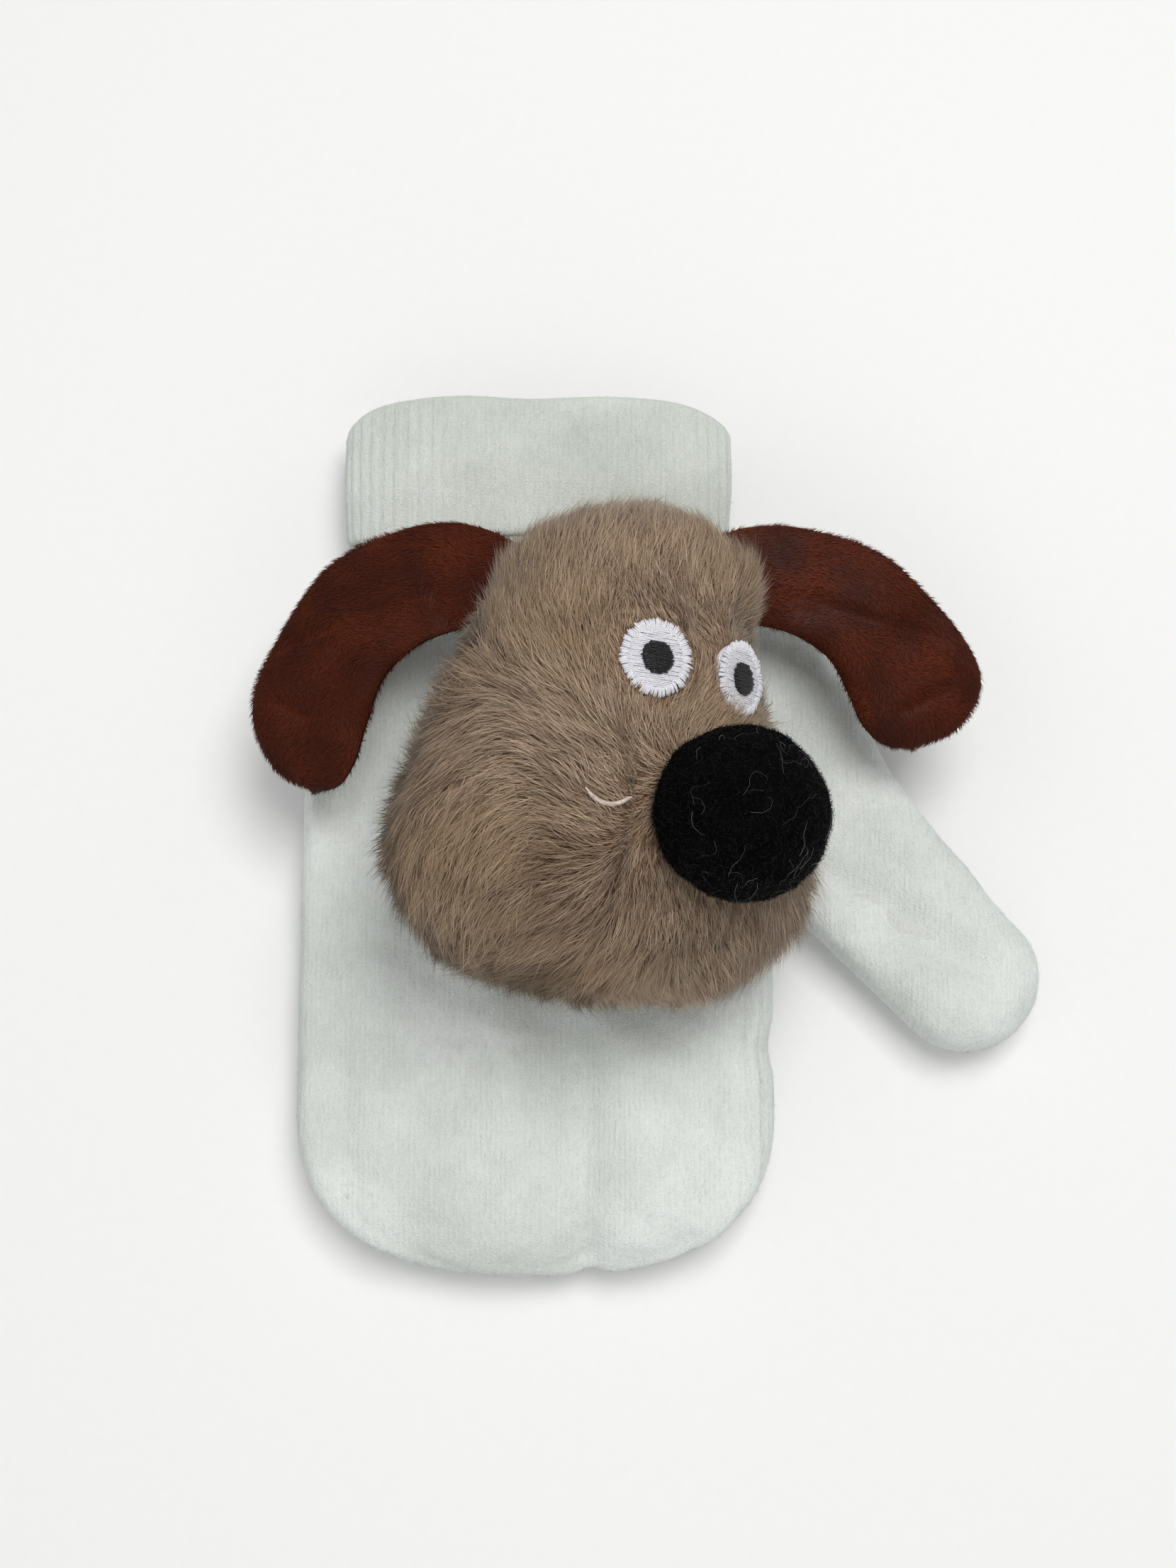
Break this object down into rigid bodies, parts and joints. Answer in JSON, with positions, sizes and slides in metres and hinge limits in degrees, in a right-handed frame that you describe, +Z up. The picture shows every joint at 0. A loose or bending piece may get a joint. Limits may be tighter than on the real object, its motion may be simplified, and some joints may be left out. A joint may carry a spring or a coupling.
{
  "type": "mitten hand puppet",
  "caption": "Fleecy mitten worn as a hand puppet, with a turned-up ribbed cuff and a stuffed plush dog's head with floppy ears sewn on the back of the hand.",
  "frame": {"origin": "under the middle of the whole object, on the surface it lies on", "axes": "+Z up from the palm side to the back of the hand; +Y from the fingertips to the cuff; +X towards the thumb"},
  "size_m": [0.1842, 0.202, 0.1041],
  "materials": {
    "brushed_knit": "matte",
    "ribbed_knit": "matte",
    "fleece_lining": "matte",
    "seam_thread": "matte",
    "tan_plush": "matte",
    "tan_back_plush": "matte",
    "fibre_filling": "matte",
    "black_felt": "matte",
    "white_embroidery": "matte",
    "black_embroidery": "matte",
    "mouth_embroidery": "matte",
    "brown_plush": "matte",
    "tan_thread": "matte"
  },
  "bodies": {
    "mitten": {"hand_back_panel": "brushed_knit", "hand_palm_panel": "brushed_knit", "hand_lining": "fleece_lining", "outer_side_seam": "seam_thread", "thumb_side_seam": "seam_thread", "fork_seam": "seam_thread", "cuff_join_seam": "seam_thread", "ribbed_cuff": "ribbed_knit"},
    "fingers": {"finger_back_panel": "brushed_knit", "finger_palm_panel": "brushed_knit", "finger_lining": "fleece_lining", "finger_edge_seam": "seam_thread"},
    "thumb": {"thumb_back_panel": "brushed_knit", "thumb_palm_panel": "brushed_knit", "thumb_lining": "fleece_lining", "thumb_edge_seam": "seam_thread"},
    "stitching": {"head_stitch_ring": "tan_thread"},
    "head": {"head_back_panel": "tan_back_plush", "face_gusset": "tan_plush", "left_cheek_panel": "tan_plush", "right_cheek_panel": "tan_plush", "head_stuffing": "fibre_filling", "felt_nose": "black_felt", "nose_thread": "tan_thread", "left_eye_white": "white_embroidery", "left_pupil": "black_embroidery", "left_mouth_stitch": "mouth_embroidery", "right_eye_white": "white_embroidery", "right_pupil": "black_embroidery", "right_mouth_stitch": "mouth_embroidery", "left_ear_root_stitches": "tan_thread", "right_ear_root_stitches": "tan_thread"},
    "left_ear": {"left_ear_front_plush": "brown_plush", "left_ear_back_plush": "brown_plush"},
    "right_ear": {"right_ear_front_plush": "brown_plush", "right_ear_back_plush": "brown_plush"}
  },
  "joints": [
    {"name": "finger_curl", "type": "hinge", "parent": "mitten", "child": "fingers", "pos_m": [-0.02239, -0.03, 0.006], "axis": [1, 0, 0], "range_deg": [-15, 60]},
    {"name": "thumb_fold", "type": "hinge", "parent": "mitten", "child": "thumb", "pos_m": [0.03661, 0.012, 0.006], "axis": [0, 1, 0], "range_deg": [-5, 60]},
    {"name": "head_turn", "type": "hinge", "parent": "mitten", "child": "stitching", "pos_m": [-0.00539, 0.001, 0.025], "axis": [0, 0, 1], "range_deg": [-20, 20]},
    {"name": "head_nod", "type": "hinge", "parent": "stitching", "child": "head", "pos_m": [-0.00539, 0.001, 0.025], "axis": [1, 0, 0], "range_deg": [-6, 6]},
    {"name": "left_ear_flap", "type": "hinge", "parent": "head", "child": "left_ear", "pos_m": [-0.03487, 0.048, 0.052], "axis": [0, 1, 0], "range_deg": [-4, 60]},
    {"name": "right_ear_flap", "type": "hinge", "parent": "head", "child": "right_ear", "pos_m": [0.02082, 0.05, 0.041], "axis": [0, -1, 0], "range_deg": [-4, 40]}
  ]
}
